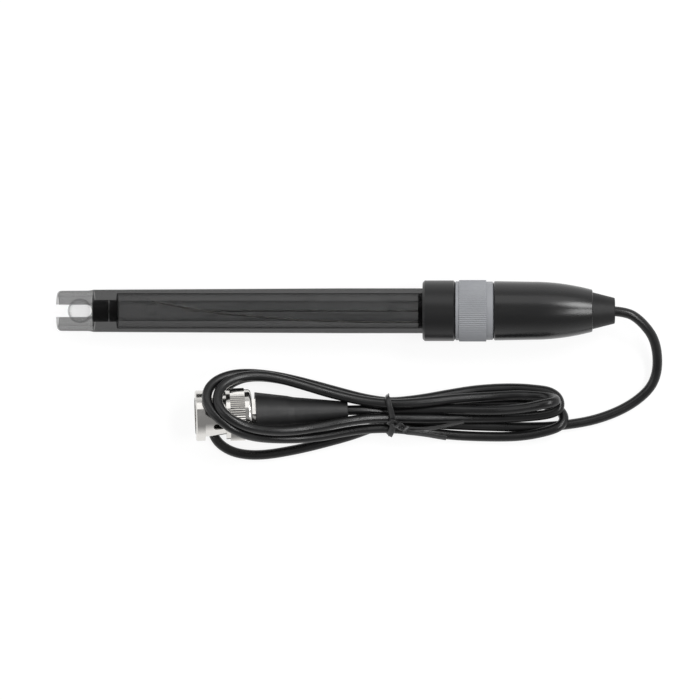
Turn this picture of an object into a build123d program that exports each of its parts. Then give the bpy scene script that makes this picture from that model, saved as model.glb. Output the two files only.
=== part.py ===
from build123d import *
import os
from math import asin, atan, cos, degrees, pi, radians, sin, sqrt, tan

os.makedirs("parts", exist_ok=True)

# A combination pH electrode lying on a bench, with its lead tied in a hank beside it.
# Millimetres. The electrode's own axis is +X, from the tips of the guard prongs towards the lead.
# s is a distance along that axis from the tips, and t a distance along the plug's axis from its mouth.

# Fits
bond_gap = 0.03
slip_gap = 0.05
bearing_gap = 0.08

# Body tube with the guard round the bulb
visible_tube = 99.9
tube_front_r = 5.74
tube_grip_r = 6.15
grip_length = 21.0
tube_wall = 1.3
socket_depth = 6.5
socket_step = 0.4
guard_depth = 9.9
guard_wall = 1.25
slot_width = 3.4
slot_count = 4
tip_round = 1.4
bulkhead_length = 6.5

# Blown glass stem and bulb
bulb_r = 3.36
bulb_setback = 2.8
bulb_wall = 0.3
neck_r = 2.2
stem_r = 2.7
stem_wall = 0.45
shoulder_length = 1.6
stem_in_potting = 4.6

# Seals and junction in the bulkhead
seal_r = 3.0
front_seal_length = 3.9
seal_spacing = 0.6
junction_r = 0.55

# Inside the glass stem
inner_wire_r = 0.3
inner_wire_reach = 4.5
capillary_r = 1.45
capillary_start = 39.6
capillary_length = 53.0

# Reference side
reference_wire_r = 0.26
reference_wire_start = 26.8
reference_wire_lift = 0.16
# Lay of the wire on the stem: share of its way to the potting, turn from straight up, lift off the stem
reference_wire_lay = [(0.0, 42.6, 0.45), (0.235, -11.0, 0.4), (0.55, -52.5, 0.3), (0.81, -72.0, 0.25)]
long_bubble_start = 68.5
long_bubble_length = 22.7
long_bubble_half_angle = 41.5
long_bubble_turn = 33.0
bubble_corner_share = 0.45
small_bubbles = [(23.8, 47.5, 1.15), (25.9, 5.0, 1.45)]

# Potting in the tube's mouth
potting_showing = 1.2
potting_length = 7.4

# Collar
collar_length = 9.0
collar_wall = 2.14
collar_chamfer = 0.6
collar_lead_in = 0.1
spigot_wall = 0.75
spigot_length = 13.4

# Knurled grip ring
ring_length = 10.35
ring_wall = 1.49
ring_front_band = 0.95
ring_rear_band = 2.0
ring_front_step = 0.33
ring_rear_step = 0.42
ring_groove = 0.3
ring_ribs = 90
ring_rib_depth = 0.16

# Domed cap
cap_length = 26.95
cap_lip_wall = 1.2
cap_lip_length = 1.4
cap_lip_step = 0.17
cap_taper_length = 10.6
cap_end_r = 5.75
cap_wall = 1.5
cap_end_wall = 2.4
cap_edge_round = 0.35

# Strain relief cone on the cap
gland_length = 6.1
gland_base_r = 5.05
gland_tip_r = 3.5
gland_stem_r = 2.7
gland_flange_r = 3.7
gland_flange_length = 1.2
gland_edge_round = 0.35

# Lead and the joints inside the cap
cable_d = 2.7
core_r = 0.5
screen_r = 0.4
splice_plane = 24.0
splice_length = 8.0
splice_wall = 0.3
jacket_reach = 1.5

# Coupling ring of the bayonet plug
mouth_rim_r = 6.94
mouth_rim_length = 2.5
sleeve_front_r = 5.8
sleeve_rear_r = 5.3
sleeve_length = 5.8
shoulder_r = 6.65
shoulder_width = 1.1
knurl_r = 7.19
knurl_length = 4.0
knurl_ribs = 72
knurl_depth = 0.2
rear_band_r = 6.8
rear_band_length = 1.9
rear_band_round = 0.9
mouth_bore_r = 4.95
rear_bore_r = 5.75
stud_groove_r = 5.2
stud_width = 2.3
stud_entry = 2.6
stud_turn = 80.0
stud_advance = 3.2
detent_length = 3.3
detent_width = 1.9
detent_angle = 215.0

# Body, contacts and spring parts of the plug
contact_r = 4.05
contact_wall = 0.6
contact_setback = 1.6
contact_slots = 4
contact_slot_width = 0.45
contact_slot_length = 4.4
gasket_width = 1.0
hub_length = 0.6
flange_thickness = 1.2
flange_r = 5.6
body_stem_r = 4.0
wave_height = 1.3
wave_strip = 0.25
wave_count = 3
wave_width = 1.1
thrust_thickness = 0.5
retainer_thickness = 0.7
retainer_depth = 0.45
retainer_gap = 3.0
insulator_r = 2.4
insulator_setback = 2.8
insulator_base_length = 4.0
pin_r = 0.67
pin_setback = 2.2
pin_barrel_r = 0.95
pin_barrel_length = 4.0
body_tail_r = 3.3
nut_across_flats = 8.2
nut_length = 1.1

# Crimp and boot behind the plug
crimp_r = 2.5
crimp_wall = 0.5
crimp_length = 9.0
crimp_stem_bore = 1.2
boot_length = 25.3
boot_front_r = 5.9
boot_step_front_r = 4.6
boot_step_rear_r = 4.2
boot_end_r = 2.45
boot_front_part = 8.8
boot_step = 1.7
boot_end_round = 0.3

# Where the plug lies: mouth centre, turn on the bench and droop of its cable end
plug_mouth = (-38.3, -28.7, 8.76)
plug_yaw = 2.0
plug_droop = 4.0

# Twist tie round the hank's waist
tie_x = 14.3
tie_width = 1.8
tie_thickness = 0.5
tie_clearance = 0.06
tie_wire_r = 0.45
knot_r = 0.75
knot_sink = 0.3
tie_ends = [(20.5, -30.6, 0.35), (16.0, -34.6, -0.1)]

# Hank: sections from the tied waist to the far end, as x, far side y, near side y and height
hank_sections = [
    (9.9, -23.7, -33.5, 6.9),
    (20.3, -23.8, -33.7, 6.8),
    (28.5, -22.5, -35.0, 6.4),
    (39.4, -20.7, -35.4, 6.0),
    (50.4, -20.1, -35.0, 5.8),
    (57.2, -21.1, -33.8, 5.7),
    (61.3, -23.5, -32.4, 5.5),
    (63.3, -25.9, -30.0, 4.6),
]
waist_section = (-24.1, -33.4, 6.7)
loop_r = 2.2
loop_route = [
    (12.1, -25.5, 3.9),
    (2.5, -22.9, 3.9),
    (-7.0, -20.1, 3.9),
    (-16.6, -18.0, 4.6),
    (-26.2, -17.5, 8.6),
    (-32.7, -19.7, 13.4),
    (-34.7, -24.4, 16.8),
    (-32.2, -28.8, 17.8),
    (-26.2, -32.0, 17.3),
    (-18.5, -34.2, 13.8),
    (-8.4, -34.7, 9.4),
    (2.5, -32.9, 6.2),
    (12.1, -31.2, 4.0),
]

# Lead: corners of its route from the strain relief to the hank, laid on the bench
lead_straight = 2.4
lead_corners = [
    (83.1, -2.4, 9.2),
    (87.9, -8.5, 6.3),
    (88.3, -18.9, 2.6),
    (82.3, -25.3, 1.5),
    (72.4, -29.8, 1.4),
    (61.3, -31.6, 1.4),
]
tail_reach = 7.3

# Worked out from the sizes above
cable_r = cable_d / 2
collar_r = tube_grip_r + collar_wall
spigot_r = tube_grip_r + spigot_wall
ring_r = spigot_r + ring_wall
ring_front_band_r = ring_r - ring_front_step
ring_rear_band_r = ring_r - ring_rear_step
cap_lip_r = spigot_r + cap_lip_wall
cap_waist_r = cap_lip_r - cap_lip_step
tube_length = visible_tube + socket_depth
tube_bore_r = tube_grip_r - tube_wall
bulkhead_end = guard_depth + bulkhead_length
grip_start = visible_tube - grip_length
bulb_centre = bulb_setback + bulb_r
potting_start = visible_tube - potting_showing
potting_end = potting_start + potting_length
stem_end = potting_start + stem_in_potting
collar_start = visible_tube
ring_start = collar_start + collar_length
cap_start = ring_start + ring_length
gland_start = cap_start + cap_length
total_length = gland_start + gland_length
splice_s = potting_end + splice_plane
wire_exit_turn = -80.0
wire_lie = stem_r + reference_wire_r + bond_gap
wire_exit_r = wire_lie + reference_wire_lift
jacket_end = gland_start + jacket_reach

rest_span = visible_tube + collar_chamfer - guard_depth
rest_tilt = degrees(atan((collar_r - tube_front_r) / rest_span))
rest_height = tube_front_r * cos(radians(rest_tilt)) - guard_depth * sin(radians(rest_tilt))
half_span = total_length * cos(radians(rest_tilt)) / 2


def lay_electrode(shape):
    """Lay a piece modelled on the electrode's axis down on the bench, centred over the origin."""
    return Pos(-half_span, 0, rest_height) * Rot(0, -rest_tilt, 0) * shape


def lay_plug(shape):
    """Put a piece modelled on the plug's axis where the plug lies."""
    return Pos(*plug_mouth) * Rot(0, 0, plug_yaw) * Rot(0, plug_droop, 0) * shape


def rod(radius, start, end, y=0.0, z=0.0):
    """A round bar along X between two stations."""
    return Pos(start, y, z) * Rot(0, 90, 0) * Cylinder(
        radius, end - start, align=(Align.CENTER, Align.CENTER, Align.MIN)
    )


def pipe(radius, bore, start, end):
    """A tube along X between two stations."""
    return rod(radius, start, end) - rod(bore, start, end)


def turned(*points):
    """A turned solid from its half outline, given as (station, radius) points."""
    return revolve(make_face(Polyline(*points, close=True).edges()), axis=Axis.X)


def fluted(radius, depth, count, start, end):
    """A round bar with fine V ribs along it."""
    step = pi / count
    outline = [
        ((radius - depth * (i % 2)) * cos(i * step), (radius - depth * (i % 2)) * sin(i * step))
        for i in range(2 * count)
    ]
    profile = make_face(Polyline(*outline, close=True).edges())
    return Pos(start, 0, 0) * Rot(0, 90, 0) * extrude(profile, end - start)


def keep(shape, node):
    """Write one node."""
    export_step(shape, f"parts/{node}.step")


# Body tube: one clear moulding with a drafted barrel, a thick bulkhead and a slotted guard
def make_body_tube():
    step_r = tube_grip_r - socket_step
    outside = turned(
        (0, 0),
        (0, tube_front_r),
        (grip_start, tube_grip_r),
        (visible_tube, tube_grip_r),
        (visible_tube, step_r),
        (tube_length, step_r),
        (tube_length, 0),
    )
    tip_edge = outside.edges().sort_by(Axis.X)[0]
    outside = fillet(tip_edge, tip_round * 0.85)
    body = outside - rod(tube_front_r - guard_wall, 0, guard_depth)
    body -= rod(seal_r, guard_depth, bulkhead_end)
    body -= rod(tube_bore_r, bulkhead_end, tube_length)
    slot_reach = guard_depth - slot_width / 2
    for i in range(slot_count // 2):
        cut = Pos(slot_reach / 2, 0, 0) * Box(slot_reach, slot_width, 4 * tube_front_r)
        cut += Pos(slot_reach, 0, 0) * Cylinder(slot_width / 2, 4 * tube_front_r)
        body -= Rot(i * 180 / (slot_count // 2), 0, 0) * cut
    return body


body_tube = make_body_tube()


# Glass stem: blown with its bulb in one piece, necked where the seals grip it
def stem_profile(inset, closed_end):
    bulb = bulb_r - (bulb_wall if inset else 0)
    neck = neck_r - inset
    stem = stem_r - inset
    meet = bulb_centre + sqrt(bulb**2 - neck**2)
    shoulder = bulkhead_end + 0.4
    outline = [
        ThreePointArc((bulb_centre - bulb, 0), (bulb_centre, bulb), (meet, neck)),
        Line((meet, neck), (shoulder, neck)),
        Spline(
            (shoulder, neck),
            (shoulder + shoulder_length, stem),
            tangents=((1, 0), (1, 0)),
        ),
        Line((shoulder + shoulder_length, stem), (closed_end, stem)),
        Line((closed_end, stem), (closed_end, 0)),
        Line((closed_end, 0), (bulb_centre - bulb, 0)),
    ]
    return revolve(make_face(outline), axis=Axis.X)


stem_outside = stem_profile(0, stem_end)
glass_stem = stem_outside - stem_profile(stem_wall, stem_end + 1)

# Seals: two rubber rings on the neck, pressed into the bulkhead's bore
front_seal_end = guard_depth + front_seal_length
rear_seal_start = front_seal_end + seal_spacing
front_seal = pipe(seal_r - bond_gap, neck_r + bond_gap, guard_depth, front_seal_end)
rear_seal = pipe(seal_r - bond_gap, neck_r + bond_gap, rear_seal_start, bulkhead_end)

# Junction: a porous ceramic pin through the bulkhead, from the reference gel to the sample
junction_z = -(seal_r + tube_front_r) / 2
junction = rod(junction_r, guard_depth, bulkhead_end, z=junction_z)
body_tube -= rod(junction_r + bond_gap, guard_depth, bulkhead_end, z=junction_z)

# Inner wire in its capillary, on the axis of the stem
inner_wire = rod(inner_wire_r, capillary_start - inner_wire_reach, splice_s)
capillary = pipe(
    capillary_r, inner_wire_r + bond_gap, capillary_start, capillary_start + capillary_length
)


# Reference wire: lies on the stem in the gel and leaves beside it
def round_axis(s, radius, turn):
    """A point at a radius from the axis, turned from straight up towards +Y."""
    return (s, radius * sin(radians(turn)), radius * cos(radians(turn)))


wire_bend_r = 6.0
wire_way = potting_start - reference_wire_start
wire_route = [
    round_axis(reference_wire_start + share * wire_way, wire_lie + lift, turn)
    for share, turn, lift in reference_wire_lay
]
wire_route += [
    round_axis(potting_start, wire_exit_r, wire_exit_turn),
    round_axis(splice_s, wire_exit_r, wire_exit_turn),
]


def swept_wire(radius):
    path = FilletPolyline(*wire_route, radius=wire_bend_r)
    return sweep(Plane(path @ 0, z_dir=path % 0) * Circle(radius), path=path)


reference_wire = swept_wire(reference_wire_r)

# Potting: black resin that closes the tube's mouth round the stem and the two wires
potting = rod(tube_bore_r - bond_gap, potting_start, potting_end)
potting -= rod(stem_r + bond_gap, potting_start, stem_end)
potting -= rod(inner_wire_r + bond_gap, potting_start, potting_end)
potting -= swept_wire(reference_wire_r + bond_gap)


# Reference gel: fills the tube round the stem, with the air bubbles the photograph shows
def make_gel():
    gel = rod(tube_bore_r - bond_gap, bulkhead_end, potting_start)
    gel -= rod(neck_r + bond_gap, bulkhead_end, bulkhead_end + 1)
    gel -= rod(stem_r + bond_gap, bulkhead_end + 0.4, potting_start)
    gel -= swept_wire(reference_wire_r + bond_gap)
    width = 2 * tube_bore_r * sin(radians(long_bubble_half_angle))
    corner = bubble_corner_share * min(width, long_bubble_length)
    outline = RectangleRounded(long_bubble_length, width, corner)
    pocket = extrude(outline, tube_bore_r)
    middle = long_bubble_start + long_bubble_length / 2
    gel -= Pos(middle, 0, 0) * Rot(-long_bubble_turn, 0, 0) * Pos(0, 0, stem_r / 2) * pocket
    for station, turn, radius in small_bubbles:
        pocket = extrude(Circle(radius), tube_bore_r)
        gel -= Pos(station, 0, 0) * Rot(-turn, 0, 0) * Pos(0, 0, stem_r / 2) * pocket
    return gel


reference_gel = make_gel()

# Collar: glued over the tube's mouth, with a spigot that carries the ring and the cap
collar = rod(collar_r, collar_start, ring_start)
collar = chamfer(collar.edges().filter_by(GeomType.CIRCLE), collar_chamfer)
collar += rod(spigot_r, ring_start, ring_start + spigot_length)
collar_bore_r = tube_grip_r - socket_step + bond_gap
collar -= rod(collar_bore_r, collar_start, tube_length)
mouth_r = tube_grip_r + collar_lead_in
collar -= turned(
    (collar_start, 0),
    (collar_start, mouth_r),
    (collar_start + mouth_r - collar_bore_r, collar_bore_r),
    (collar_start + mouth_r - collar_bore_r, 0),
)
collar -= rod(tube_bore_r, tube_length, ring_start + spigot_length)


# Grip ring: turned bands either side of a ribbed barrel
def make_grip_ring():
    barrel_start = ring_start + ring_front_band
    barrel_end = cap_start - ring_rear_band
    ring = fluted(ring_r, ring_rib_depth, ring_ribs, barrel_start, barrel_end)
    ring += rod(ring_front_band_r, ring_start, barrel_start)
    ring += turned(
        (barrel_end, 0),
        (barrel_end, ring_rear_band_r),
        (cap_start - ring_groove, ring_rear_band_r),
        (cap_start, ring_rear_band_r - 2 * ring_groove),
        (cap_start, 0),
    )
    return ring - rod(spigot_r + slip_gap, ring_start, cap_start)


grip_ring = make_grip_ring()


# Cap: a domed hollow moulding pushed onto the spigot
def make_cap():
    lip_end = cap_start + cap_lip_length
    waist = cap_start + cap_taper_length
    end = gland_start
    dome_run = end - waist
    dome_drop = cap_waist_r - cap_end_r
    middle_drop = dome_drop * 0.25
    outline = [
        Line((cap_start, 0), (cap_start, cap_lip_r - cap_edge_round)),
        Line((cap_start, cap_lip_r - cap_edge_round), (cap_start + cap_edge_round, cap_lip_r)),
        Line((cap_start + cap_edge_round, cap_lip_r), (lip_end, cap_lip_r)),
        Line((lip_end, cap_lip_r), (waist, cap_waist_r)),
        ThreePointArc(
            (waist, cap_waist_r),
            (waist + dome_run / 2, cap_waist_r - middle_drop),
            (end, cap_end_r),
        ),
        Line((end, cap_end_r), (end, 0)),
        Line((end, 0), (cap_start, 0)),
    ]
    shell = revolve(make_face(outline), axis=Axis.X)
    shell = fillet(shell.edges().filter_by(GeomType.CIRCLE).sort_by(Axis.X)[-1], cap_edge_round)
    spigot_reach = spigot_length - ring_length
    shell -= rod(spigot_r + slip_gap, cap_start, cap_start + spigot_reach + slip_gap)
    cavity_r = cap_waist_r - cap_wall
    shell -= turned(
        (cap_start + spigot_reach, 0),
        (cap_start + spigot_reach, cavity_r),
        (waist, cavity_r),
        (end - cap_end_wall, cap_end_r - cap_wall),
        (end - cap_end_wall, 0),
    )
    return shell - rod(gland_stem_r + slip_gap, end - cap_end_wall, end)


cable_cap = make_cap()

# Strain relief: a rubber cone snapped into the cap's end hole by its inner flange
flange_end = gland_start - cap_end_wall
gland = turned(
    (flange_end - gland_flange_length, 0),
    (flange_end - gland_flange_length, gland_flange_r),
    (flange_end, gland_flange_r),
    (flange_end, gland_stem_r),
    (gland_start, gland_stem_r),
    (gland_start, gland_base_r),
    (total_length, gland_tip_r),
    (total_length, 0),
)
gland = fillet(gland.edges().filter_by(GeomType.CIRCLE).sort_by(Axis.X)[-1], gland_edge_round)
cable_gland = gland - rod(cable_r + bond_gap, flange_end - gland_flange_length, total_length)

# Splices: the lead's core and screen meet the two wires inside the cap, under shrunk sleeves
core_offset = 0.6
screen_offset = 0.7
splice_bend_r = 4.0
splice_half = splice_length / 2


def bent_lead(radius, route):
    path = FilletPolyline(*route, radius=splice_bend_r)
    return sweep(Plane(path @ 0, z_dir=path % 0) * Circle(radius), path=path)


gland_mouth = flange_end - gland_flange_length
wire_y = round_axis(0, wire_exit_r, wire_exit_turn)[1]
wire_z = round_axis(0, wire_exit_r, wire_exit_turn)[2]
core_route = [
    (splice_s, 0, 0),
    (splice_s + splice_half + 1, 0, 0),
    (gland_mouth - 1.5, core_offset, 0),
    (jacket_end, core_offset, 0),
]
screen_route = [
    (splice_s, wire_y, wire_z),
    (splice_s + splice_half + 1, wire_y, wire_z),
    (gland_mouth - 1.5, -screen_offset, 0),
    (jacket_end, -screen_offset, 0),
]
lead_core = bent_lead(core_r, core_route)
lead_screen = bent_lead(screen_r, screen_route)
splice_start = splice_s - splice_half
splice_end = splice_s + splice_half
core_sleeve = pipe(core_r + bond_gap + splice_wall, core_r + bond_gap, splice_start, splice_end)
screen_bore = max(screen_r, reference_wire_r) + bond_gap
screen_sleeve = Pos(0, wire_y, wire_z) * pipe(
    screen_bore + splice_wall, screen_bore, splice_start, splice_end
)

# Stations on the plug, from its mouth
sleeve_start = mouth_rim_length
shoulder_start = sleeve_start + sleeve_length
knurl_start = shoulder_start + shoulder_width
knurl_end = knurl_start + knurl_length
coupling_end = knurl_end + rear_band_length
inner_step = shoulder_start + 0.9
flange_start = inner_step + slip_gap
flange_back = flange_start + flange_thickness
thrust_start = flange_back + wave_height
retainer_start = thrust_start + thrust_thickness
retainer_end = retainer_start + retainer_thickness
body_end = coupling_end + nut_length
boot_start = body_end
boot_end = boot_start + boot_length
crimp_end = boot_start + crimp_length


# Coupling ring: turned and knurled, with two spiral stud grooves that end in open detents
def make_stud_groove():
    depth = stud_groove_r - mouth_bore_r + 0.6
    middle_r = stud_groove_r - depth / 2
    pitch = stud_advance * 360 / stud_turn
    path = Helix(pitch, stud_advance, middle_r)
    section = Plane(path @ 0, z_dir=path % 0, x_dir=(1, 0, 0)) * Rectangle(depth, stud_width)
    ramp = Rot(0, 90, 0) * sweep(section, path=path, is_frenet=True)
    entry = Pos(stud_entry / 2, 0, -middle_r) * Box(stud_entry + stud_width, stud_width, depth)
    return Pos(stud_entry, 0, 0) * ramp + entry


def make_coupling_ring():
    sleeve = turned(
        (0, 0),
        (0, mouth_rim_r - 0.3),
        (0.3, mouth_rim_r),
        (mouth_rim_length, mouth_rim_r),
        (mouth_rim_length, sleeve_front_r),
        (shoulder_start, sleeve_rear_r),
        (shoulder_start, shoulder_r),
        (knurl_start, shoulder_r),
        (knurl_start, 0),
    )
    band = fillet(
        rod(rear_band_r, knurl_end, coupling_end)
        .edges()
        .filter_by(GeomType.CIRCLE)
        .sort_by(Axis.X)[-1],
        rear_band_round,
    )
    ring = sleeve + fluted(knurl_r, knurl_depth, knurl_ribs, knurl_start, knurl_end) + band
    ring -= rod(mouth_bore_r, 0, inner_step)
    ring -= rod(rear_bore_r, inner_step, coupling_end)
    ring -= rod(rear_bore_r + retainer_depth, retainer_start, retainer_end)
    for i in range(2):
        ring -= Rot(detent_angle + stud_turn - 180 + 180 * i, 0, 0) * make_stud_groove()
        hole = extrude(SlotOverall(detent_length, detent_width), 2 * mouth_rim_r)
        middle = stud_entry + stud_advance + stud_width / 4
        ring -= Rot(detent_angle - 180 + 180 * i, 0, 0) * Pos(middle, 0, 0) * hole
    return ring


coupling_ring = make_coupling_ring()


# Plug body: the outer contact with its sprung fingers, the flange and the rear stem, turned in one
def make_plug_body():
    cavity_r = contact_r - contact_wall
    hub_start = flange_start - hub_length
    insulator_end = flange_back + insulator_base_length - 1
    body = turned(
        (contact_setback, 0),
        (contact_setback, contact_r - 0.25),
        (contact_setback + 0.25, contact_r),
        (hub_start, contact_r),
        (hub_start, mouth_bore_r - bearing_gap),
        (flange_start, mouth_bore_r - bearing_gap),
        (flange_start, flange_r),
        (flange_back, flange_r),
        (flange_back, body_stem_r),
        (coupling_end - slip_gap, body_stem_r),
        (coupling_end - slip_gap, body_tail_r),
        (body_end, body_tail_r),
        (body_end, crimp_r - crimp_wall - bond_gap),
        (crimp_end - 1, crimp_r - crimp_wall - bond_gap),
        (crimp_end - 1, 0),
    )
    body -= rod(cavity_r, contact_setback, insulator_end)
    body -= rod(crimp_stem_bore, insulator_end, crimp_end)
    for i in range(contact_slots // 2):
        cut = Box(contact_slot_length, contact_slot_width, 4 * contact_r)
        turn = 45 + i * 360 / contact_slots
        body -= Rot(turn, 0, 0) * Pos(contact_setback + contact_slot_length / 2, 0, 0) * cut
    return body, hub_start, insulator_end


plug_body, hub_start, insulator_end = make_plug_body()

# Gasket at the foot of the outer contact
gasket = pipe(
    mouth_bore_r - 2 * bearing_gap, contact_r + bond_gap, hub_start - gasket_width, hub_start
)

# Insulator and centre pin
insulator_base = insulator_end - insulator_base_length
insulator = rod(insulator_r, insulator_setback, insulator_base)
insulator += rod(contact_r - contact_wall - bond_gap, insulator_base, insulator_end)
insulator -= rod(pin_r + bond_gap, insulator_setback, insulator_base)
insulator -= rod(pin_barrel_r + bond_gap, insulator_base, insulator_end)
centre_pin = turned(
    (pin_setback, 0),
    (pin_setback, pin_r * 0.4),
    (pin_setback + pin_r, pin_r),
    (insulator_base, pin_r),
    (insulator_base, pin_barrel_r),
    (insulator_base + pin_barrel_length, pin_barrel_r),
    (insulator_base + pin_barrel_length, 0),
)
centre_pin -= rod(core_r + bond_gap, insulator_base + 1, insulator_base + pin_barrel_length)


# Wave washer between the body's flange and the thrust washer
def make_wave_washer():
    inner_r = body_stem_r + bearing_gap
    outer_r = inner_r + wave_width
    swing = (wave_height - wave_strip) / 2 - bond_gap
    angles = [2 * pi * i / (8 * wave_count) for i in range(8 * wave_count)]

    def wavy_edge(radius, offset):
        points = [
            (offset + swing * cos(wave_count * a), radius * cos(a), radius * sin(a)) for a in angles
        ]
        return Wire([Spline(*points, periodic=True)])

    half = wave_strip / 2
    edges = [
        wavy_edge(inner_r, -half),
        wavy_edge(outer_r, -half),
        wavy_edge(outer_r, half),
        wavy_edge(inner_r, half),
    ]
    faces = [Face.make_surface_from_curves(edges[i], edges[(i + 1) % 4]) for i in range(4)]
    return Pos(flange_back + wave_height / 2, 0, 0) * Solid(Shell(faces))


wave_washer = make_wave_washer()
thrust_r = rear_bore_r - bearing_gap
thrust_washer = pipe(thrust_r, body_stem_r + bearing_gap, thrust_start, retainer_start - bond_gap)

# Retaining ring: a split ring sprung into the coupling ring's groove
retaining_ring = pipe(
    rear_bore_r + retainer_depth - bond_gap, thrust_r - 0.8, retainer_start, retainer_end
)
retaining_ring -= Pos(retainer_start, 0, rear_bore_r) * Box(4, retainer_gap, 4)

# Clamp nut behind the coupling ring, flats outermost
nut = Rot(0, 90, 0) * extrude(
    RegularPolygon(nut_across_flats / 2, 6, major_radius=False), nut_length
)
clamp_nut = Pos(coupling_end, 0, 0) * nut - rod(body_tail_r + bond_gap, coupling_end, body_end)

# Crimp ferrule on the lead's screen, covered by the boot
crimp = pipe(crimp_r, crimp_r - crimp_wall, boot_start, crimp_end)

# Boot: a tapered rubber moulding with one step, tight on the lead at its end
boot = turned(
    (boot_start, 0),
    (boot_start, boot_front_r),
    (boot_start + boot_front_part, boot_step_front_r),
    (boot_start + boot_front_part + boot_step, boot_step_rear_r),
    (boot_end, boot_end_r),
    (boot_end, 0),
)
boot = fillet(boot.edges().filter_by(GeomType.CIRCLE).sort_by(Axis.X)[-1], boot_end_round)
plug_boot = boot - rod(crimp_r + bond_gap, boot_start, crimp_end + 0.5)
plug_boot -= rod(cable_r + bond_gap, crimp_end, boot_end)

# Ends of the lead inside the plug: its core in the pin's barrel, and its jacket behind the crimp
plug_core = rod(core_r, insulator_base + 1 + bond_gap, crimp_end)
cable_tail = rod(cable_r, crimp_end, boot_end + tail_reach)


def corner_radii(points):
    """The largest arc each corner of a route has room for."""
    radii = []
    for before, corner, after in zip(points, points[1:], points[2:]):
        run_in = Vector(*corner) - Vector(*before)
        run_out = Vector(*after) - Vector(*corner)
        half_turn = radians(run_in.get_angle(run_out)) / 2
        radii.append(0.45 * min(run_in.length, run_out.length) / tan(half_turn))
    return radii


def laid_tube(radius, points):
    """A round tube along straight runs joined by arcs."""
    path = FilletPolyline(*points, radius=corner_radii(points))
    section = Plane(path @ 0, z_dir=path % 0) * Circle(radius)
    return sweep(section, path=path), path.length


# Lead: out of the strain relief, down to the bench and back to the hank
def bench_point(s):
    """Where a station of the electrode's axis lies on the bench."""
    point = lay_electrode(Pos(s, 0, 0)).position
    return (point.X, point.Y, point.Z)


lead_route = [bench_point(jacket_end), bench_point(total_length + lead_straight)] + lead_corners
cable_lead, lead_length = laid_tube(cable_r, lead_route)
lead_share = cable_lead.volume / (pi * cable_r**2 * lead_length)
lead_radii = [round(r, 1) for r in corner_radii(lead_route)]
print(f"lead {lead_length:.1f} mm, volume share {lead_share:.4f}, arc radii {lead_radii}")


# Hank: the outer shape of the folded turns, a tied waist with one loop over the plug
def make_hank():
    lift = tie_thickness + tie_clearance + bond_gap
    waist = [(tie_x + side * 0.7 * tie_width, *waist_section) for side in (-1, 1)]
    sections = []
    for x, far_y, near_y, top in sorted(hank_sections + waist):
        width = far_y - near_y
        base = lift if x < tie_x + tie_width else 0.05
        height = top - base
        place = Plane((x, (far_y + near_y) / 2, (top + base) / 2), x_dir=(0, 1, 0), z_dir=(1, 0, 0))
        sections.append(place * RectangleRounded(width, height, 0.45 * min(width, height)))
    loop, _ = laid_tube(loop_r, loop_route)
    return loft(sections, ruled=True) + loop


cable_hank = make_hank()


# Twist tie: a strap round the waist, twisted on top, with two loose ends
def make_twist_tie():
    far_y, near_y, top = waist_section
    base = tie_thickness + tie_clearance + bond_gap
    middle = Plane(
        (tie_x - tie_width / 2, (far_y + near_y) / 2, (top + base) / 2),
        x_dir=(0, 1, 0),
        z_dir=(1, 0, 0),
    )
    corner = 0.45 * (top - base)

    def loop(grow):
        size = (far_y - near_y + 2 * grow, top - base + 2 * grow)
        return RectangleRounded(*size, corner + grow)

    strap = extrude(
        middle * (loop(tie_clearance + tie_thickness) - loop(tie_clearance)), tie_width
    )
    knot_z = top + tie_clearance + tie_thickness + knot_r - knot_sink
    knot_line = Line((tie_x, -29.6, knot_z), (tie_x + 5.2, -32.6, knot_z))
    knot_place = Plane(knot_line @ 0, z_dir=knot_line % 0)
    strap += knot_place * extrude(Circle(knot_r), knot_line.length)
    for far_x, far_y, rise in tie_ends:
        tail = Line(knot_line @ 0.6, (tie_x + far_x, far_y, knot_z + rise))
        strap += Plane(tail @ 0, z_dir=tail % 0) * extrude(Circle(tie_wire_r), tail.length)
    return strap


twist_tie = make_twist_tie()

# Export of the electrode, the plug and the lead
electrode_nodes = {
    "body_tube": body_tube,
    "glass_stem": glass_stem,
    "front_seal": front_seal,
    "rear_seal": rear_seal,
    "junction": junction,
    "capillary": capillary,
    "inner_wire": inner_wire,
    "reference_wire": reference_wire,
    "reference_gel": reference_gel,
    "potting": potting,
    "collar": collar,
    "grip_ring": grip_ring,
    "cable_cap": cable_cap,
    "cable_gland": cable_gland,
    "lead_core": lead_core,
    "lead_screen": lead_screen,
    "core_sleeve": core_sleeve,
    "screen_sleeve": screen_sleeve,
}
plug_nodes = {
    "coupling_ring": coupling_ring,
    "plug_body": plug_body,
    "plug_gasket": gasket,
    "plug_insulator": insulator,
    "centre_pin": centre_pin,
    "wave_washer": wave_washer,
    "thrust_washer": thrust_washer,
    "retaining_ring": retaining_ring,
    "clamp_nut": clamp_nut,
    "crimp_ferrule": crimp,
    "plug_boot": plug_boot,
    "plug_core": plug_core,
    "cable_tail": cable_tail,
}
bench_nodes = {
    "cable_lead": cable_lead,
    "cable_hank": cable_hank,
    "twist_tie": twist_tie,
}
for node, shape in electrode_nodes.items():
    keep(lay_electrode(shape), node)
for node, shape in plug_nodes.items():
    keep(lay_plug(shape), node)
for node, shape in bench_nodes.items():
    keep(shape, node)
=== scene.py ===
from math import cos, pi, sin

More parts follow.
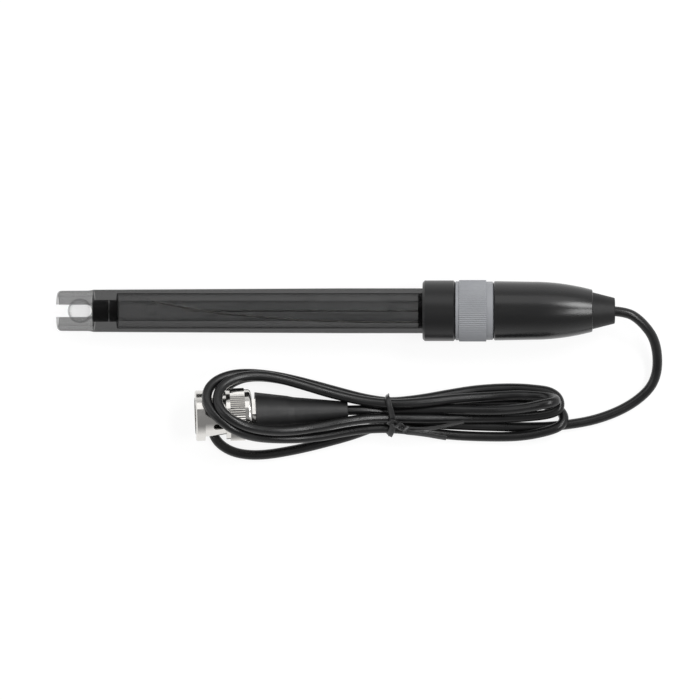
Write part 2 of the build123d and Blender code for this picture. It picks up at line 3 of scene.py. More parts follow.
import bmesh
import bpy
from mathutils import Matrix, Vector


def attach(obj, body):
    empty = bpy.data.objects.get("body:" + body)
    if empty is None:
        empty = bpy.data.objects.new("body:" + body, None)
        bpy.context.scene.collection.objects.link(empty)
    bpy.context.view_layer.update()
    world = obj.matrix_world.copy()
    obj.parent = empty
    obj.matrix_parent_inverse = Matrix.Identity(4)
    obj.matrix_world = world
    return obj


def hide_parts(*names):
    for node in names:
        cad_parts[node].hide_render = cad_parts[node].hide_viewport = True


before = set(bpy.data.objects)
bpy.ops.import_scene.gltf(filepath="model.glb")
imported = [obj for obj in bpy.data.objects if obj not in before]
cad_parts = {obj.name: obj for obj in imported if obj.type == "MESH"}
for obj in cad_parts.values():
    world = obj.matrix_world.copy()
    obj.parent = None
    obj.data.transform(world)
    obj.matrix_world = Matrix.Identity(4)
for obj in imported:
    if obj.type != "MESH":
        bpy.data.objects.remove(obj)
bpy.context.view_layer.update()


# Body tube
# Tube, bulkhead and slotted guard are one moulding in smoke-tinted polycarbonate. The tint is
# weak: one wall shows what is behind it as grey, and two walls leave it nearly black.
electrode_tilt = 0.02814
guard_end_x = -0.0662
guard_end_z = 0.00574
skin_radius = 0.0052
guard_tint = 0.765
skin_tint = 0.345
bore_tint = 0.96
tube_edge_share = 0.55
tube_gloss = 0.05
tube_edge_gloss = 0.6


def new_finish(name, colour, roughness, metallic=0.0):
    """A material with one Principled shader, and that shader."""
    finish = bpy.data.materials.new(name)
    finish.use_nodes = True
    shader = finish.node_tree.nodes["Principled BSDF"]
    shader.inputs["Base Color"].default_value = (*colour, 1.0)
    shader.inputs["Roughness"].default_value = roughness
    shader.inputs["Metallic"].default_value = metallic
    return finish, shader


def add_node(finish, kind, settings=(), sockets=()):
    """A node in the finish, with its settings and its input values."""
    node = finish.node_tree.nodes.new(kind)
    for key, value in dict(settings).items():
        setattr(node, key, value)
    for key, value in dict(sockets).items():
        node.inputs[key].default_value = value
    return node


def join(finish, source, target):
    """Link one node's output to another's input."""
    finish.node_tree.links.new(source, target)


def cloudiness(finish, stretch=(1.0, 1.0, 1.0), turn=(0.0, 0.0, 0.0), scale=100.0, detail=3.0):
    """The value of a noise fixed to the piece, drawn out along the axes with a small stretch."""
    place = add_node(finish, "ShaderNodeTexCoord")
    mapping = add_node(finish, "ShaderNodeMapping", sockets={"Rotation": turn, "Scale": stretch})
    noise = add_node(finish, "ShaderNodeTexNoise", sockets={"Scale": scale, "Detail": detail})
    join(finish, place.outputs["Object"], mapping.inputs["Vector"])
    join(finish, mapping.outputs["Vector"], noise.inputs["Vector"])
    return noise.outputs["Fac"]


def spread(finish, value, low, high, noise_low=0.3, noise_high=0.7):
    """A noise's value, mostly between noise_low and noise_high, spread over low to high."""
    spreader = add_node(
        finish,
        "ShaderNodeMapRange",
        sockets={"From Min": noise_low, "From Max": noise_high, "To Min": low, "To Max": high},
    )
    join(finish, value, spreader.inputs["Value"])
    return spreader.outputs["Result"]


def shade_roughness(finish, shader, value, low, high):
    """Let the shader's roughness wander from low to high by a noise."""
    join(finish, spread(finish, value, low, high), shader.inputs["Roughness"])


def raise_grain(finish, shader, value, height, strength=1.0):
    """Let a noise stand up from the surface by up to height."""
    bump = add_node(finish, "ShaderNodeBump", sockets={"Strength": strength, "Distance": height})
    join(finish, value, bump.inputs["Height"])
    join(finish, bump.outputs["Normal"], shader.inputs["Normal"])


def arithmetic(finish, operation, first, second):
    """The result of a Math node on two sockets or numbers."""
    node = add_node(finish, "ShaderNodeMath", settings={"operation": operation})
    for given, socket in zip((first, second), node.inputs):
        if isinstance(given, float):
            socket.default_value = given
        else:
            join(finish, given, socket)
    return node.outputs[0]


def make_clear(finish, shader, through, tint, edge_share, gloss, edge_gloss, sharpness=4.0):
    """Let light through the finish by the shader called through. Its tint is a socket or a number
    and falls to edge_share of itself at the outline, while the gloss rises from gloss to
    edge_gloss. A higher sharpness keeps both changes closer to the outline."""
    facing = add_node(finish, "ShaderNodeLayerWeight", sockets={"Blend": 0.5})
    steep = arithmetic(finish, "POWER", facing.outputs["Facing"], sharpness)
    gloss_rise = arithmetic(finish, "MULTIPLY", steep, edge_gloss - gloss)
    tint_loss = arithmetic(finish, "MULTIPLY", steep, 1.0 - edge_share)
    tint_left = arithmetic(finish, "SUBTRACT", 1.0, tint_loss)
    join(finish, arithmetic(finish, "MULTIPLY", tint_left, tint), through.inputs["Color"])
    both = add_node(finish, "ShaderNodeMixShader")
    join(finish, arithmetic(finish, "ADD", gloss_rise, gloss), both.inputs["Fac"])
    join(finish, through.outputs["BSDF"], both.inputs[1])
    join(finish, shader.outputs["BSDF"], both.inputs[2])
    output = finish.node_tree.nodes["Material Output"]
    join(finish, both.outputs["Shader"], output.inputs["Surface"])


def dress(node, finish):
    """Give every slot of a CAD node one finish."""
    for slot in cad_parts[node].material_slots:
        slot.material = finish


smoke_moulding, smoke_shader = new_finish("smoke_moulding", (0.02, 0.02, 0.021), roughness=0.14)
smoke_lines = cloudiness(smoke_moulding, stretch=(0.04, 1.0, 1.0), scale=900.0)
shade_roughness(smoke_moulding, smoke_shader, smoke_lines, low=0.1, high=0.22)
raise_grain(smoke_moulding, smoke_shader, smoke_lines, height=0.00001, strength=0.2)

# Three tints by place: the guard's thin prongs, the tube's outer skin and its bore. The axis
# that they are measured from starts at the guard's inner end and leans with the electrode.
tube_place = add_node(smoke_moulding, "ShaderNodeTexCoord")
tube_axis = add_node(
    smoke_moulding,
    "ShaderNodeMapping",
    settings={"vector_type": "TEXTURE"},
    sockets={"Location": (guard_end_x, 0.0, guard_end_z), "Rotation": (0.0, -electrode_tilt, 0.0)},
)
join(smoke_moulding, tube_place.outputs["Object"], tube_axis.inputs["Vector"])
tube_parts = add_node(smoke_moulding, "ShaderNodeSeparateXYZ")
join(smoke_moulding, tube_axis.outputs["Vector"], tube_parts.inputs["Vector"])
in_guard = arithmetic(smoke_moulding, "LESS_THAN", tube_parts.outputs["X"], 0.0)
squared_y = arithmetic(smoke_moulding, "POWER", tube_parts.outputs["Y"], 2.0)
squared_z = arithmetic(smoke_moulding, "POWER", tube_parts.outputs["Z"], 2.0)
squared_sum = arithmetic(smoke_moulding, "ADD", squared_y, squared_z)
from_axis = arithmetic(smoke_moulding, "POWER", squared_sum, 0.5)
on_skin = arithmetic(smoke_moulding, "GREATER_THAN", from_axis, skin_radius)
behind_guard = add_node(
    smoke_moulding, "ShaderNodeMapRange", sockets={"To Min": bore_tint, "To Max": skin_tint}
)
join(smoke_moulding, on_skin, behind_guard.inputs["Value"])
tube_tint = add_node(smoke_moulding, "ShaderNodeMapRange", sockets={"To Max": guard_tint})
join(smoke_moulding, in_guard, tube_tint.inputs["Value"])
join(smoke_moulding, behind_guard.outputs["Result"], tube_tint.inputs["To Min"])
smoke_through = add_node(smoke_moulding, "ShaderNodeBsdfTransparent")
make_clear(
    smoke_moulding,
    smoke_shader,
    smoke_through,
    tint=tube_tint.outputs["Result"],
    edge_share=tube_edge_share,
    gloss=tube_gloss,
    edge_gloss=tube_edge_gloss,
)
dress("body_tube", smoke_moulding)


# Glass stem and bulb
# The stem is drawn soda glass and the bulb is blown from thin pH-sensitive glass at its end. A
# glass capillary with a silver wire hangs in the stem, in clear buffer.

# Glass with liquid on both sides of it hardly bends light
wetted_index = 1.01


def shade_colour(finish, shader, value, dark, light):
    """Let the shader's colour wander from dark to light by a noise."""
    blend = add_node(finish, "ShaderNodeMix", settings={"data_type": "RGBA"})
    blend.inputs["A"].default_value = (*dark, 1.0)
    blend.inputs["B"].default_value = (*light, 1.0)
    join(finish, spread(finish, value, low=0.0, high=1.0), blend.inputs["Factor"])
    join(finish, blend.outputs["Result"], shader.inputs["Base Color"])


clear_glass, glass_shader = new_finish("clear_glass", (0.8, 0.82, 0.82), roughness=0.04)
glass_waves = cloudiness(clear_glass, stretch=(0.3, 1.0, 1.0), scale=260.0, detail=1.0)
raise_grain(clear_glass, glass_shader, glass_waves, height=0.00002, strength=0.2)
glass_through = add_node(
    clear_glass, "ShaderNodeBsdfRefraction", sockets={"IOR": wetted_index, "Roughness": 0.0}
)
make_clear(
    clear_glass, glass_shader, glass_through, tint=0.97, edge_share=0.15, gloss=0.04, edge_gloss=0.5
)
dress("glass_stem", clear_glass)
dress("capillary", clear_glass)

silver_wire, silver_shader = new_finish(
    "silver_wire", (0.86, 0.85, 0.82), roughness=0.28, metallic=1.0
)
tarnish = cloudiness(silver_wire, scale=700.0)
shade_colour(silver_wire, silver_shader, tarnish, dark=(0.62, 0.6, 0.57), light=(0.92, 0.91, 0.88))
dress("inner_wire", silver_wire)


# Seals and junction
# Two rubber seals hold the stem in the bulkhead with an air gap between them, and a porous
# ceramic pin next to them lets the gel meet the sample.
seal_rubber, seal_shader = new_finish("seal_rubber", (0.03, 0.03, 0.03), roughness=0.42)
seal_grain = cloudiness(seal_rubber, scale=1500.0)
raise_grain(seal_rubber, seal_shader, seal_grain, height=0.00005, strength=0.5)
for seal in ("front_seal", "rear_seal"):
    dress(seal, seal_rubber)

porous_ceramic, ceramic_shader = new_finish("porous_ceramic", (0.78, 0.76, 0.71), roughness=0.85)
pores = cloudiness(porous_ceramic, scale=5200.0)
shade_colour(porous_ceramic, ceramic_shader, pores, dark=(0.6, 0.58, 0.53), light=(0.82, 0.8, 0.76))
raise_grain(porous_ceramic, ceramic_shader, pores, height=0.00006, strength=0.8)
dress("junction", porous_ceramic)


# Reference side
# Clear gelled electrolyte fills the tube round the stem, with the air bubbles that it was filled
# with, and a silver wire lies in it along the stem.
clear_gel, gel_shader = new_finish("clear_gel", (0.3, 0.31, 0.31), roughness=0.1)
gel_swirls = cloudiness(clear_gel, stretch=(0.4, 1.0, 1.0), scale=320.0, detail=2.0)
raise_grain(clear_gel, gel_shader, gel_swirls, height=0.00003, strength=0.2)
gel_through = add_node(
    clear_gel, "ShaderNodeBsdfRefraction", sockets={"IOR": wetted_index, "Roughness": 0.0}
)
make_clear(
    clear_gel, gel_shader, gel_through, tint=0.98, edge_share=0.2, gloss=0.01, edge_gloss=0.3
)
dress("reference_gel", clear_gel)
dress("reference_wire", silver_wire)


# Potting and collar
# Black epoxy closes the tube's mouth. The collar is a black moulding that is bonded over the
# tube's end, with a sharp bevel at both of its edges.
black_epoxy, epoxy_shader = new_finish("black_epoxy", (0.014, 0.014, 0.015), roughness=0.22)
epoxy_skin = cloudiness(black_epoxy, scale=420.0)
raise_grain(black_epoxy, epoxy_shader, epoxy_skin, height=0.0001, strength=0.4)
dress("potting", black_epoxy)

black_moulding, black_shader = new_finish("black_moulding", (0.006, 0.006, 0.0063), roughness=0.34)
black_shader.inputs["Specular IOR Level"].default_value = 0.42
moulding_grain = cloudiness(black_moulding, scale=9000.0, detail=2.0)
moulding_flow = cloudiness(black_moulding, stretch=(0.3, 1.0, 1.0), scale=120.0)
shade_colour(
    black_moulding,
    black_shader,
    moulding_flow,
    dark=(0.005, 0.005, 0.0053),
    light=(0.008, 0.008, 0.0084),
)
shade_roughness(black_moulding, black_shader, moulding_flow, low=0.3, high=0.4)
raise_grain(black_moulding, black_shader, moulding_grain, height=0.000006, strength=0.4)
dress("collar", black_moulding)


# Grip ring
# A grey moulding, pushed over the collar's spigot and held between the collar and the cap. Its
# ninety fine ribs lie between two plain bands.
grey_moulding, grey_shader = new_finish("grey_moulding", (0.26, 0.267, 0.283), roughness=0.46)
grey_flow = cloudiness(grey_moulding, scale=160.0)
shade_colour(
    grey_moulding, grey_shader, grey_flow, dark=(0.25, 0.256, 0.272), light=(0.275, 0.282, 0.298)
)
grey_grain = cloudiness(grey_moulding, scale=9000.0, detail=2.0)
raise_grain(grey_moulding, grey_shader, grey_grain, height=0.000005, strength=0.3)
dress("grip_ring", grey_moulding)


# Cable cap
# A domed black moulding that closes the electrode and covers the joints of the lead. It is
# polished brighter than the collar.
polished_moulding, polished_shader = new_finish(
    "polished_moulding", (0.007, 0.007, 0.0073), roughness=0.22
)
polished_flow = cloudiness(polished_moulding, stretch=(0.25, 1.0, 1.0), scale=240.0)
shade_roughness(polished_moulding, polished_shader, polished_flow, low=0.2, high=0.3)
polished_grain = cloudiness(polished_moulding, scale=8000.0, detail=2.0)
raise_grain(polished_moulding, polished_shader, polished_grain, height=0.000003, strength=0.3)
dress("cable_cap", polished_moulding)


# Strain relief and the joints inside the cap
# The tapered strain relief is moulded in soft black rubber. Inside the cap the lead's core and
# screen are soldered to the two wires, under shrink sleeves.
soft_rubber, rubber_shader = new_finish("soft_rubber", (0.009, 0.009, 0.0094), roughness=0.5)
rubber_shader.inputs["Specular IOR Level"].default_value = 0.3
rubber_bloom = cloudiness(soft_rubber, scale=300.0)
shade_colour(
    soft_rubber,
    rubber_shader,
    rubber_bloom,
    dark=(0.007, 0.007, 0.0073),
    light=(0.012, 0.012, 0.0124),
)
rubber_grain = cloudiness(soft_rubber, scale=7000.0, detail=3.0)
raise_grain(soft_rubber, rubber_shader, rubber_grain, height=0.00001, strength=0.5)
dress("cable_gland", soft_rubber)

bare_copper, copper_shader = new_finish(
    "bare_copper", (0.83, 0.47, 0.3), roughness=0.32, metallic=1.0
)
copper_lay = cloudiness(bare_copper, stretch=(0.2, 1.0, 1.0), scale=2400.0)
shade_colour(
    bare_copper, copper_shader, copper_lay, dark=(0.6, 0.33, 0.2), light=(0.88, 0.52, 0.34)
)
raise_grain(bare_copper, copper_shader, copper_lay, height=0.00008, strength=0.6)
for conductor in ("lead_core", "lead_screen", "plug_core"):
    dress(conductor, bare_copper)

shrink_sleeve, sleeve_shader = new_finish("shrink_sleeve", (0.02, 0.02, 0.021), roughness=0.4)
sleeve_folds = cloudiness(shrink_sleeve, stretch=(0.5, 1.0, 1.0), scale=900.0)
raise_grain(shrink_sleeve, sleeve_shader, sleeve_folds, height=0.0001, strength=0.5)
for joint in ("core_sleeve", "screen_sleeve"):
    dress(joint, shrink_sleeve)


# Bayonet plug
# Coupling ring, body, washers, retaining ring, nut and ferrule are turned brass with bright nickel
# plating. The knurl and the tool's fine rings stay in the plating.

# How far the plug is turned from the X axis, so that its rings run round its own axis
plug_turn = (0.0, 0.0698, -0.0349)

bright_nickel, nickel_shader = new_finish(
    "bright_nickel", (0.7, 0.685, 0.66), roughness=0.13, metallic=1.0
)
nickel_haze = cloudiness(bright_nickel, scale=500.0)
shade_roughness(bright_nickel, nickel_shader, nickel_haze, low=0.09, high=0.2)
tool_rings = cloudiness(bright_nickel, stretch=(1.0, 0.02, 0.02), turn=plug_turn, scale=5200.0)
raise_grain(bright_nickel, nickel_shader, tool_rings, height=0.000012, strength=0.35)
for part in (
    "coupling_ring",
    "plug_body",
    "wave_washer",
    "thrust_washer",
    "retaining_ring",
    "clamp_nut",
    "crimp_ferrule",
):
    dress(part, bright_nickel)
dress("plug_gasket", seal_rubber)

white_insulator, insulator_shader = new_finish("white_insulator", (0.8, 0.79, 0.76), roughness=0.4)
insulator_turning = cloudiness(
    white_insulator, stretch=(1.0, 0.05, 0.05), turn=plug_turn, scale=3000.0
)
raise_grain(white_insulator, insulator_shader, insulator_turning, height=0.00003, strength=0.4)
dress("plug_insulator", white_insulator)

gold_plate, gold_shader = new_finish("gold_plate", (0.94, 0.71, 0.33), roughness=0.2, metallic=1.0)
gold_haze = cloudiness(gold_plate, scale=900.0)
shade_roughness(gold_plate, gold_shader, gold_haze, low=0.14, high=0.3)
dress("centre_pin", gold_plate)


# Plug boot
# A stepped sleeve of soft black rubber, pushed over the crimp to keep the lead from kinking. Its
# mould has left faint rings on it.
boot_rubber, boot_shader = new_finish("boot_rubber", (0.013, 0.013, 0.0135), roughness=0.44)
boot_shader.inputs["Specular IOR Level"].default_value = 0.36
boot_bloom = cloudiness(boot_rubber, scale=260.0)
shade_colour(
    boot_rubber, boot_shader, boot_bloom, dark=(0.008, 0.008, 0.0084), light=(0.014, 0.014, 0.0144)
)
boot_rings = cloudiness(boot_rubber, stretch=(1.0, 0.03, 0.03), turn=plug_turn, scale=1100.0)
raise_grain(boot_rubber, boot_shader, boot_rings, height=0.00004, strength=0.5)
dress("plug_boot", boot_rubber)


# Lead
# A thin coaxial cable in a soft black PVC jacket. It leaves the strain relief, turns round on the
# bench, and is folded three times through the tie before it enters the plug's boot.
cable_diameter = 0.0027
lead_route = [
    (0.072, 0, 0.0096), (0.0785, 0, 0.0098), (0.0831, -0.0024, 0.0092),
    (0.0879, -0.0085, 0.0063), (0.0883, -0.0189, 0.0026), (0.0823, -0.0253, 0.0015),
    (0.0724, -0.0298, 0.0014), (0.0613, -0.0316, 0.0014),
    # Under the folds to the tie
    (0.0531, -0.0319, 0.0014), (0.0435, -0.0317, 0.0014), (0.0326, -0.0313, 0.0014),
    (0.023, -0.0307, 0.0014), (0.0146, -0.0302, 0.0019),
    # First loop, on the bench under the plug
    (0.0094, -0.0323, 0.0017), (0.0039, -0.0343, 0.0014), (-0.0016, -0.0358, 0.0014),
    (-0.007, -0.0372, 0.0014), (-0.0125, -0.0384, 0.0014), (-0.0185, -0.0394, 0.0014),
    (-0.0234, -0.0396, 0.0014), (-0.0278, -0.0389, 0.0014), (-0.0313, -0.0371, 0.0014),
    (-0.0335, -0.0345, 0.0014), (-0.0341, -0.0312, 0.0014), (-0.0338, -0.0277, 0.0014),
    (-0.0327, -0.0244, 0.0014), (-0.0309, -0.0216, 0.0014), (-0.0283, -0.0195, 0.0014),
    (-0.0245, -0.0181, 0.0014), (-0.0193, -0.018, 0.0014), (-0.0125, -0.0192, 0.0014),
    (-0.0057, -0.021, 0.0014), (0.0012, -0.0229, 0.0014), (0.008, -0.0246, 0.0015),
    (0.0146, -0.0253, 0.0019),
    # First fold on the lead's side
    (0.023, -0.0253, 0.0014), (0.034, -0.0254, 0.0014), (0.0449, -0.0255, 0.0014),
    (0.0525, -0.0255, 0.0014), (0.0573, -0.0256, 0.0014), (0.0605, -0.0264, 0.0016),
    (0.0622, -0.028, 0.0022), (0.0627, -0.0299, 0.0033), (0.0614, -0.0317, 0.0042),
    (0.058, -0.033, 0.004),
    (0.0517, -0.0343, 0.0027), (0.0449, -0.0346, 0.0015), (0.034, -0.0343, 0.0014),
    (0.0258, -0.0334, 0.0023), (0.0203, -0.0326, 0.0033), (0.0146, -0.0321, 0.0041),
    # Second loop, over the plug's sleeve
    (0.0094, -0.0322, 0.0046), (0.0039, -0.0328, 0.0052), (-0.0032, -0.0342, 0.0062),
    (-0.0098, -0.0349, 0.0075), (-0.016, -0.0349, 0.0095), (-0.0212, -0.0345, 0.0122),
    (-0.0253, -0.0334, 0.0152), (-0.0286, -0.0317, 0.0166), (-0.0311, -0.0298, 0.0169),
    (-0.0333, -0.0277, 0.0167), (-0.0347, -0.0253, 0.016), (-0.0351, -0.0229, 0.0148),
    (-0.0341, -0.0204, 0.0132), (-0.0316, -0.0185, 0.0116), (-0.0278, -0.0173, 0.01),
    (-0.0229, -0.0171, 0.0086), (-0.0174, -0.0177, 0.0076), (-0.0119, -0.0188, 0.0066),
    (-0.0057, -0.0204, 0.0058), (0.0012, -0.0223, 0.005), (0.008, -0.0241, 0.0044),
    (0.0146, -0.0251, 0.0043),
    # Second fold
    (0.0203, -0.0246, 0.0039), (0.0258, -0.0238, 0.0033), (0.0312, -0.0228, 0.0024),
    (0.0381, -0.0217, 0.0015), (0.0449, -0.0212, 0.0014), (0.0509, -0.0212, 0.0015),
    (0.0552, -0.0216, 0.0021), (0.0583, -0.022, 0.0028), (0.0606, -0.0233, 0.0036),
    (0.0615, -0.0253, 0.0043), (0.061, -0.0272, 0.0046), (0.0585, -0.0283, 0.0043),
    (0.0531, -0.029, 0.0033), (0.0449, -0.0294, 0.0029), (0.0367, -0.0294, 0.0032),
    (0.0285, -0.0295, 0.0041),
    (0.0217, -0.0294, 0.0051), (0.0146, -0.0293, 0.0058),
    # Third loop, over the coupling ring's shoulder
    (0.0088, -0.0294, 0.0072), (0.0028, -0.0302, 0.0086), (-0.0037, -0.0315, 0.0096),
    (-0.0098, -0.0325, 0.0108), (-0.0152, -0.0328, 0.0127), (-0.0201, -0.0324, 0.015),
    (-0.024, -0.0315, 0.0169), (-0.0274, -0.03, 0.0178), (-0.0302, -0.028, 0.0179),
    (-0.0318, -0.0257, 0.0172), (-0.0321, -0.0232, 0.0158), (-0.0311, -0.0208, 0.0142),
    (-0.0286, -0.0189, 0.0129), (-0.0249, -0.0178, 0.0117), (-0.0203, -0.0176, 0.0107),
    (-0.0147, -0.0186, 0.0098), (-0.0084, -0.0204, 0.0089), (-0.0016, -0.0225, 0.008),
    (0.0066, -0.0245, 0.0071), (0.0146, -0.0255, 0.0067),
    # Third fold, and back through the tie into the boot
    (0.0203, -0.0253, 0.0066), (0.0258, -0.0248, 0.006), (0.0326, -0.024, 0.0049),
    (0.0394, -0.0236, 0.0039), (0.0449, -0.0233, 0.0034), (0.0498, -0.023, 0.0038),
    (0.0539, -0.0232, 0.0038), (0.0569, -0.0234, 0.0042), (0.0591, -0.0238, 0.0056),
    (0.0602, -0.0243, 0.0077), (0.0596, -0.0249, 0.0097), (0.0575, -0.0253, 0.0106),
    (0.0545, -0.026, 0.0099),
    (0.0505, -0.0267, 0.008), (0.0449, -0.0272, 0.0062), (0.0381, -0.0272, 0.0053),
    (0.0312, -0.027, 0.0049),
    (0.0252, -0.027, 0.0044), (0.0198, -0.0274, 0.0038), (0.0146, -0.0277, 0.0034),
    (0.0106, -0.0273, 0.0046), (0.0066, -0.0271, 0.0056), (0.0003, -0.0273, 0.0061),
]

lead_jacket, jacket_shader = new_finish("lead_jacket", (0.006, 0.006, 0.0063), roughness=0.3)
jacket_shader.inputs["Specular IOR Level"].default_value = 0.42
jacket_haze = cloudiness(lead_jacket, scale=220.0)
shade_roughness(lead_jacket, jacket_shader, jacket_haze, low=0.24, high=0.38)
jacket_grain = cloudiness(lead_jacket, scale=7000.0, detail=2.0)
raise_grain(lead_jacket, jacket_shader, jacket_grain, height=0.000006, strength=0.4)


def lay_line(name, route, smooth_steps=8):
    """A curve object with one smooth line that follows the route's points."""
    curve = bpy.data.curves.new(name, "CURVE")
    curve.dimensions = "3D"
    curve.resolution_u = smooth_steps
    line = curve.splines.new("NURBS")
    line.points.add(len(route) - 1)
    for point, place in zip(line.points, route):
        point.co = (*place, 1.0)
    line.order_u = 3
    line.use_endpoint_u = True
    piece = bpy.data.objects.new(name, curve)
    bpy.context.scene.collection.objects.link(piece)
    return piece


lead = lay_line("lead", lead_route)
lead.data.bevel_depth = cable_diameter / 2
lead.data.bevel_resolution = 6
lead.data.use_fill_caps = True
lead.data.materials.append(lead_jacket)
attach(lead, "root")
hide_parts("cable_lead", "cable_tail", "cable_hank")


# Twist tie
# A flat black plastic ribbon with a wire in it, passed round all the strands, twisted over them
# and left with two loose ends.
ribbon_half_width = 0.0009
ribbon_half_thickness = 0.00016
ribbon_shoulder_share = 0.9
ridge_foot_share = 0.45
wire_ridge = 0.00036
strap_route = [
    (0.0140, -0.0233, 0.0055), (0.0139, -0.0234, 0.0076), (0.0142, -0.0244, 0.0087),
    (0.0148, -0.0264, 0.0088), (0.0152, -0.0279, 0.0083), (0.0158, -0.0302, 0.0077),
    (0.0156, -0.0318, 0.0067), (0.0151, -0.0332, 0.0056), (0.0147, -0.0340, 0.0046),
    (0.0146, -0.0341, 0.0035), (0.0145, -0.0331, 0.0023), (0.0144, -0.0319, 0.0011),
    (0.0143, -0.0300, 0.0007), (0.0142, -0.0260, 0.0007), (0.0141, -0.0243, 0.0011),
    (0.0140, -0.0234, 0.0022), (0.0140, -0.0232, 0.0036), (0.0140, -0.0233, 0.0055),
]
knot_start = Vector((0.0146, -0.0299, 0.0079))
knot_end = Vector((0.0198, -0.0328, 0.0072))
knot_steps = 10
knot_radius = 0.0005
knot_angle = 3.0 * pi
strap_tilt = pi / 2
ends_tilt = 2.3
first_end_route = [(0.0262, -0.0322, 0.0068), (0.0306, -0.0313, 0.0067), (0.0350, -0.0304, 0.0066)]
second_end_route = [
    (0.0240, -0.0337, 0.0062), (0.0272, -0.0343, 0.0056), (0.0303, -0.0348, 0.0052),
]

tie_plastic, tie_shader = new_finish("tie_plastic", (0.016, 0.016, 0.0165), roughness=0.36)
tie_creases = cloudiness(tie_plastic, scale=1300.0)
shade_colour(
    tie_plastic, tie_shader, tie_creases, dark=(0.012, 0.012, 0.0125), light=(0.022, 0.022, 0.0225)
)
raise_grain(tie_plastic, tie_shader, tie_creases, height=0.00008, strength=0.5)

# The ribbon's outline, one long side and then the same turned half round
ribbon_shoulder = ribbon_shoulder_share * ribbon_half_width
ridge_foot = ridge_foot_share * ribbon_half_width
long_side = [
    (-ribbon_half_width, 0.0),
    (-ribbon_shoulder, ribbon_half_thickness),
    (-ridge_foot, ribbon_half_thickness),
    (0.0, wire_ridge),
    (ridge_foot, ribbon_half_thickness),
    (ribbon_shoulder, ribbon_half_thickness),
]
ribbon_corners = long_side + [(-across, -out) for across, out in long_side]
ribbon_profile = bpy.data.objects.new(
    "ribbon_profile", bpy.data.curves.new("ribbon_profile", "CURVE")
)
ribbon_outline = ribbon_profile.data.splines.new("POLY")
ribbon_outline.points.add(len(ribbon_corners) - 1)
for point, (across, out) in zip(ribbon_outline.points, ribbon_corners):
    point.co = (across, out, 0.0, 1.0)
ribbon_outline.use_cyclic_u = True
bpy.context.scene.collection.objects.link(ribbon_profile)


def lay_ribbon(name, route, tilts):
    """A ribbon along the route, turned about its own line by the tilts, as a mesh piece."""
    line = lay_line(name + "_line", route)
    line.data.bevel_mode = "OBJECT"
    line.data.bevel_object = ribbon_profile
    line.data.use_fill_caps = True
    for point, tilt in zip(line.data.splines[0].points, tilts):
        point.tilt = tilt
    scene_state = bpy.context.evaluated_depsgraph_get()
    mesh = bpy.data.meshes.new_from_object(line.evaluated_get(scene_state))
    bpy.data.objects.remove(line)
    ribbon = bpy.data.objects.new(name, mesh)
    bpy.context.scene.collection.objects.link(ribbon)
    for face in mesh.polygons:
        face.use_smooth = True
    mesh.materials.clear()
    mesh.materials.append(tie_plastic)
    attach(ribbon, "root")
    return ribbon


def knot_route(first_turn):
    """Points that wind once and a half round the knot's line, from the given angle."""
    along = knot_end - knot_start
    side = along.cross(Vector((0.0, 0.0, 1.0))).normalized()
    points = []
    for step in range(knot_steps + 1):
        angle = first_turn + knot_angle * step / knot_steps
        out = side * cos(angle) + Vector((0.0, 0.0, 1.0)) * sin(angle)
        points.append(tuple(knot_start + along * step / knot_steps + out * knot_radius))
    return points


strap = lay_ribbon("tie_strap", strap_route, [strap_tilt] * len(strap_route))
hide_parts("twist_tie")
first_route = knot_route(0.0) + first_end_route
second_route = knot_route(pi) + second_end_route
twist = [
    knot_angle * min(step, knot_steps) / knot_steps + ends_tilt for step in range(len(first_route))
]
first_end = lay_ribbon("tie_end_first", first_route, twist)
second_end = lay_ribbon("tie_end_second", second_route, twist)
bpy.data.objects.remove(ribbon_profile)


# Bench, lamps and camera
# A white bench under soft lamps, with the camera straight above. The bench shows white to the
# camera and in gloss and clear plastic, and still takes soft shadows.
bench_half_width = 3.0
bench_colour = (0.82, 0.82, 0.82)
bench_white = 1.1
shadow_share = 0.22
# Each lamp's place, its two sides and its power
lamps = {
    "right_far_softbox": ((0.40, 0.34, 0.66), (0.3, 0.24), 2.5),
    "right_near_softbox": ((0.44, -0.06, 0.74), (0.3, 0.24), 2.1),
    "far_side_panel": ((-0.1, 0.6, 0.62), (1.2, 0.5), 2.0),
    "left_panel": ((-0.7, 0.0, 0.7), (0.5, 0.8), 1.6),
}
wall_height = 0.05
ceiling_height = 0.65
wall_strength = 0.9
ceiling_strength = 0.28
camera_place = (0.003907, -0.01071, 1.2075)
camera_lens = 225.9
film_width = 36.0

bench_mesh = bmesh.new()
bmesh.ops.create_grid(bench_mesh, x_segments=1, y_segments=1, size=bench_half_width)
bench = bpy.data.objects.new("bench", bpy.data.meshes.new("bench"))
bench_mesh.to_mesh(bench.data)
bench_mesh.free()
bpy.context.scene.collection.objects.link(bench)

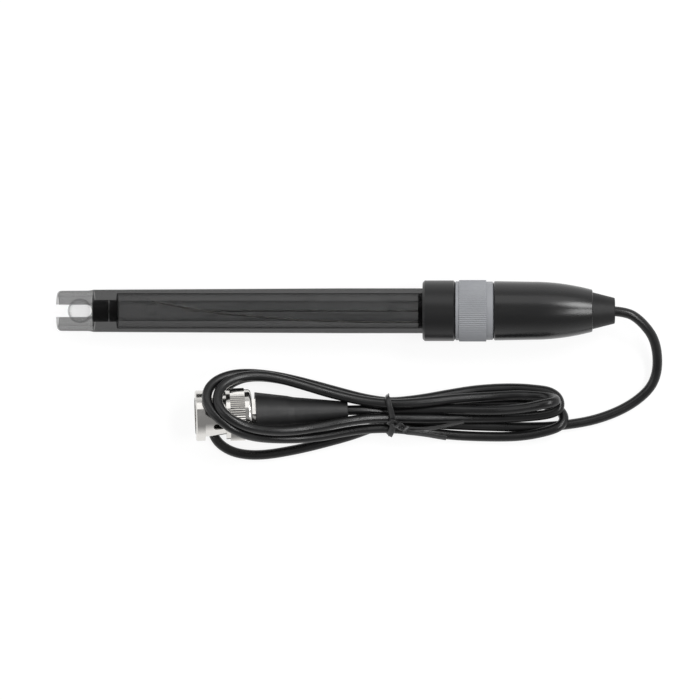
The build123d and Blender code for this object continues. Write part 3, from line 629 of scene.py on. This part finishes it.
bench_paint, bench_shader = new_finish("bench_paint", bench_colour, roughness=0.9)
bench_shader.inputs["Specular IOR Level"].default_value = 0.0
ray = add_node(bench_paint, "ShaderNodeLightPath").outputs
seen_or_mirrored = arithmetic(bench_paint, "MAXIMUM", ray["Is Camera Ray"], ray["Is Glossy Ray"])
seen_white = arithmetic(bench_paint, "MAXIMUM", seen_or_mirrored, ray["Is Transmission Ray"])
share_of_white = arithmetic(bench_paint, "MULTIPLY", seen_white, 1.0 - shadow_share)
white = add_node(bench_paint, "ShaderNodeEmission", sockets={"Strength": bench_white})
bench_look = add_node(bench_paint, "ShaderNodeMixShader")
join(bench_paint, share_of_white, bench_look.inputs["Fac"])
join(bench_paint, bench_shader.outputs["BSDF"], bench_look.inputs[1])
join(bench_paint, white.outputs["Emission"], bench_look.inputs[2])
bench_output = bench_paint.node_tree.nodes["Material Output"]
join(bench_paint, bench_look.outputs["Shader"], bench_output.inputs["Surface"])
bench.data.materials.append(bench_paint)

for name, (place, size, power) in lamps.items():
    lamp_data = bpy.data.lights.new(name, "AREA")
    lamp_data.shape = "RECTANGLE"
    lamp_data.size, lamp_data.size_y = size
    lamp_data.energy = power
    lamp = bpy.data.objects.new(name, lamp_data)
    lamp.location = place
    lamp.rotation_euler = (-Vector(place)).to_track_quat("-Z", "Y").to_euler()
    bpy.context.scene.collection.objects.link(lamp)

# The room: white walls low down, darker overhead
room = bpy.data.worlds.new("room")
room.use_nodes = True
bpy.context.scene.world = room
sky = room.node_tree.nodes["Background"]
sky.inputs["Color"].default_value = (1.0, 1.0, 1.0, 1.0)
direction = add_node(room, "ShaderNodeTexCoord")
direction_parts = add_node(room, "ShaderNodeSeparateXYZ")
brightness = add_node(
    room,
    "ShaderNodeMapRange",
    sockets={
        "From Min": wall_height,
        "From Max": ceiling_height,
        "To Min": wall_strength,
        "To Max": ceiling_strength,
    },
)
join(room, direction.outputs["Generated"], direction_parts.inputs["Vector"])
join(room, direction_parts.outputs["Z"], brightness.inputs["Value"])
join(room, brightness.outputs["Result"], sky.inputs["Strength"])

camera_data = bpy.data.cameras.new("camera")
camera_data.lens = camera_lens
camera_data.sensor_width = film_width
camera = bpy.data.objects.new("camera", camera_data)
camera.location = camera_place
bpy.context.scene.collection.objects.link(camera)
bpy.context.scene.camera = camera
bpy.context.scene.view_settings.view_transform = "Standard"
